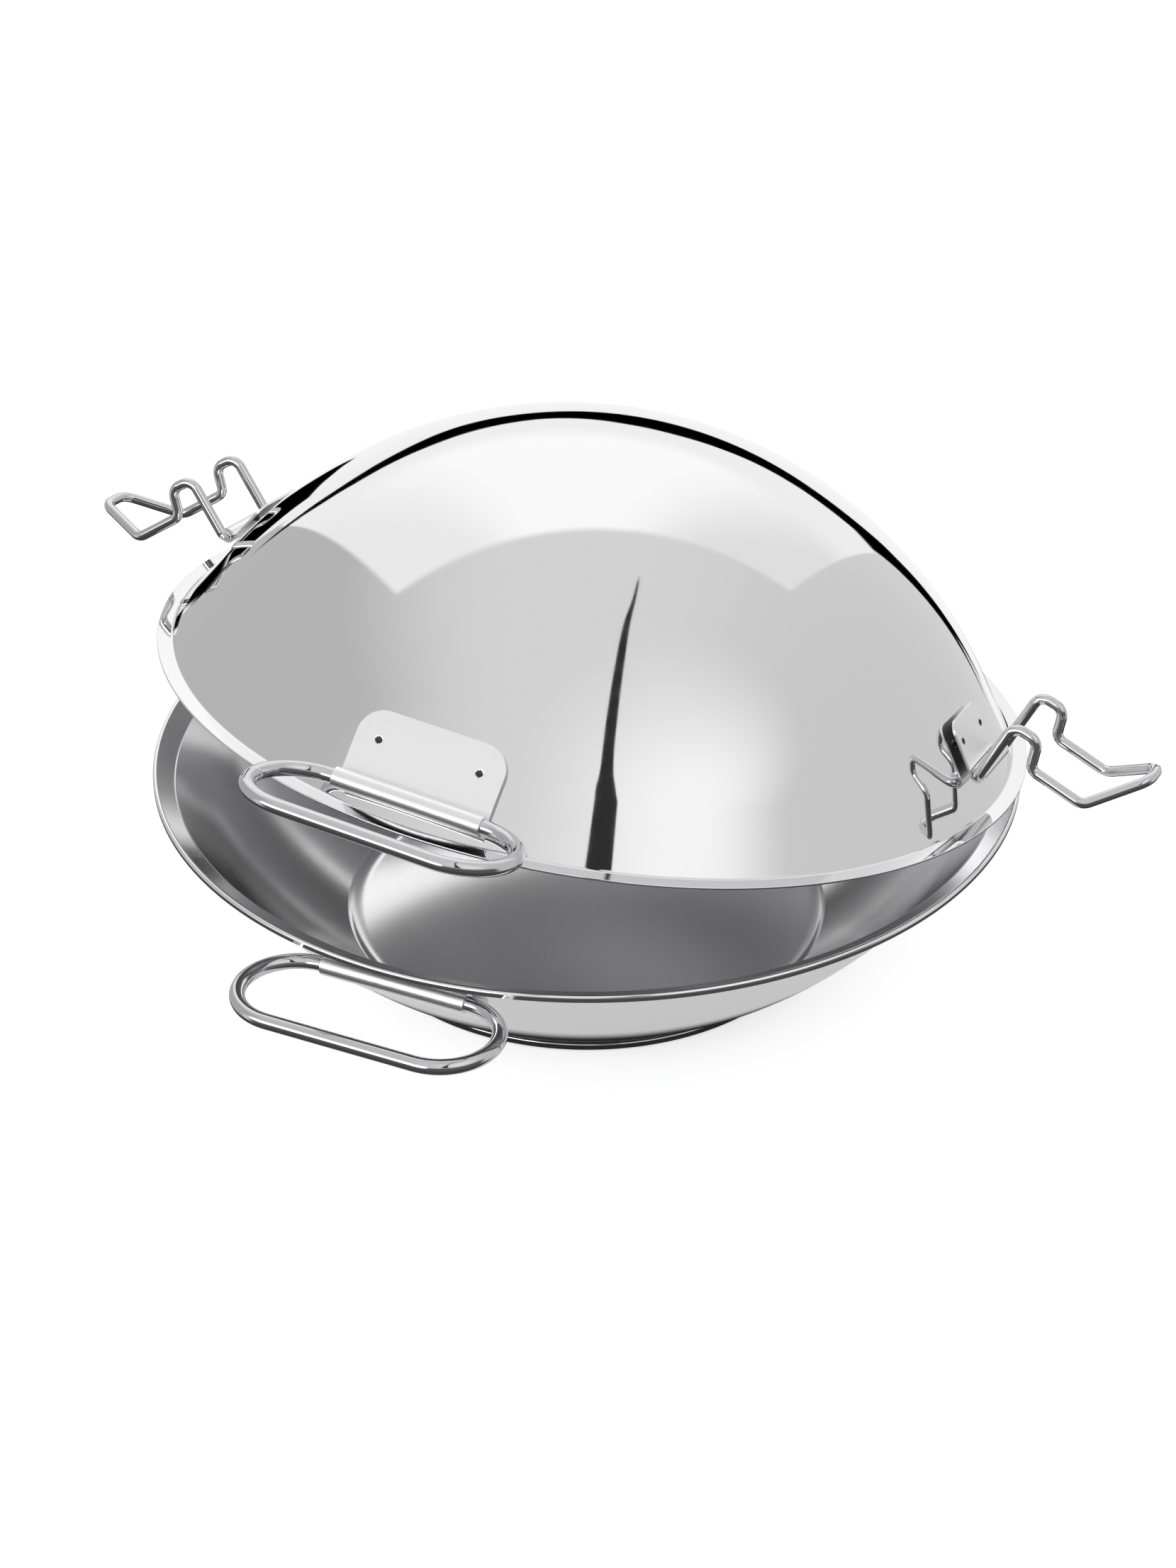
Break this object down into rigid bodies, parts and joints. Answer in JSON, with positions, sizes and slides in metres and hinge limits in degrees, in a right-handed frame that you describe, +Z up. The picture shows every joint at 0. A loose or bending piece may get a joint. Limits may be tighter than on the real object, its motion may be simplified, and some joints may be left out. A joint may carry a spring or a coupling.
{
  "type": "cataplana",
  "caption": "Hinge-less clam-shell steaming pan: a shallow bowl on a flat base disc and a domed lid, with wire loop handles and swinging wire clips that hold the lid down",
  "frame": {"origin": "centre of the underside of the base disc, on the table", "axes": "+Z up through the pan, handles along Y with the front ones towards -Y, clips along X; rest is the pictured pose with the lid ajar"},
  "size_m": [0.3915, 0.3677, 0.1871],
  "materials": {
    "pan_steel": "stainless sheet, mirror-polished outside and satin inside",
    "lid_steel": "stainless sheet, mirror-polished outside and satin inside",
    "disc_core_aluminium": "plain, sealed inside the cap",
    "disc_cap_steel": "polished stainless cap",
    "plate_steel": "bright stainless sheet, spot welded",
    "wire_steel": "bright-drawn stainless wire"
  },
  "bodies": {
    "base": {"base_pan": "pan_steel", "base_disc_core": "disc_core_aluminium", "base_disc_cap": "disc_cap_steel", "base_front_handle_plate": "plate_steel", "base_front_handle": "wire_steel", "base_rear_handle_plate": "plate_steel", "base_rear_handle": "wire_steel"},
    "lid": {"lid_shell": "lid_steel", "lid_front_handle_plate": "plate_steel", "lid_front_handle": "wire_steel", "lid_rear_handle_plate": "plate_steel", "lid_rear_handle": "wire_steel", "left_clip_plate": "plate_steel", "right_clip_plate": "plate_steel"},
    "left_clip": {"left_clip": "wire_steel"},
    "right_clip": {"right_clip": "wire_steel"}
  },
  "joints": [
    {"name": "lid_tilt", "type": "hinge", "parent": "base", "child": "lid", "pos_m": [0.08139, 0.12677, 0.06335], "axis": [-0.8415, 0.5402, 0], "range_deg": [-10, 25]},
    {"name": "right_clip_swing", "type": "hinge", "parent": "lid", "child": "right_clip", "pos_m": [0.14305, 0.00412, 0.09764], "axis": [0.0069, -0.9892, 0.1461], "range_deg": [-64, 45]},
    {"name": "left_clip_swing", "type": "hinge", "parent": "lid", "child": "left_clip", "pos_m": [-0.13652, 0.00606, 0.12398], "axis": [-0.0069, 0.9892, -0.1461], "range_deg": [-44, 65]}
  ]
}
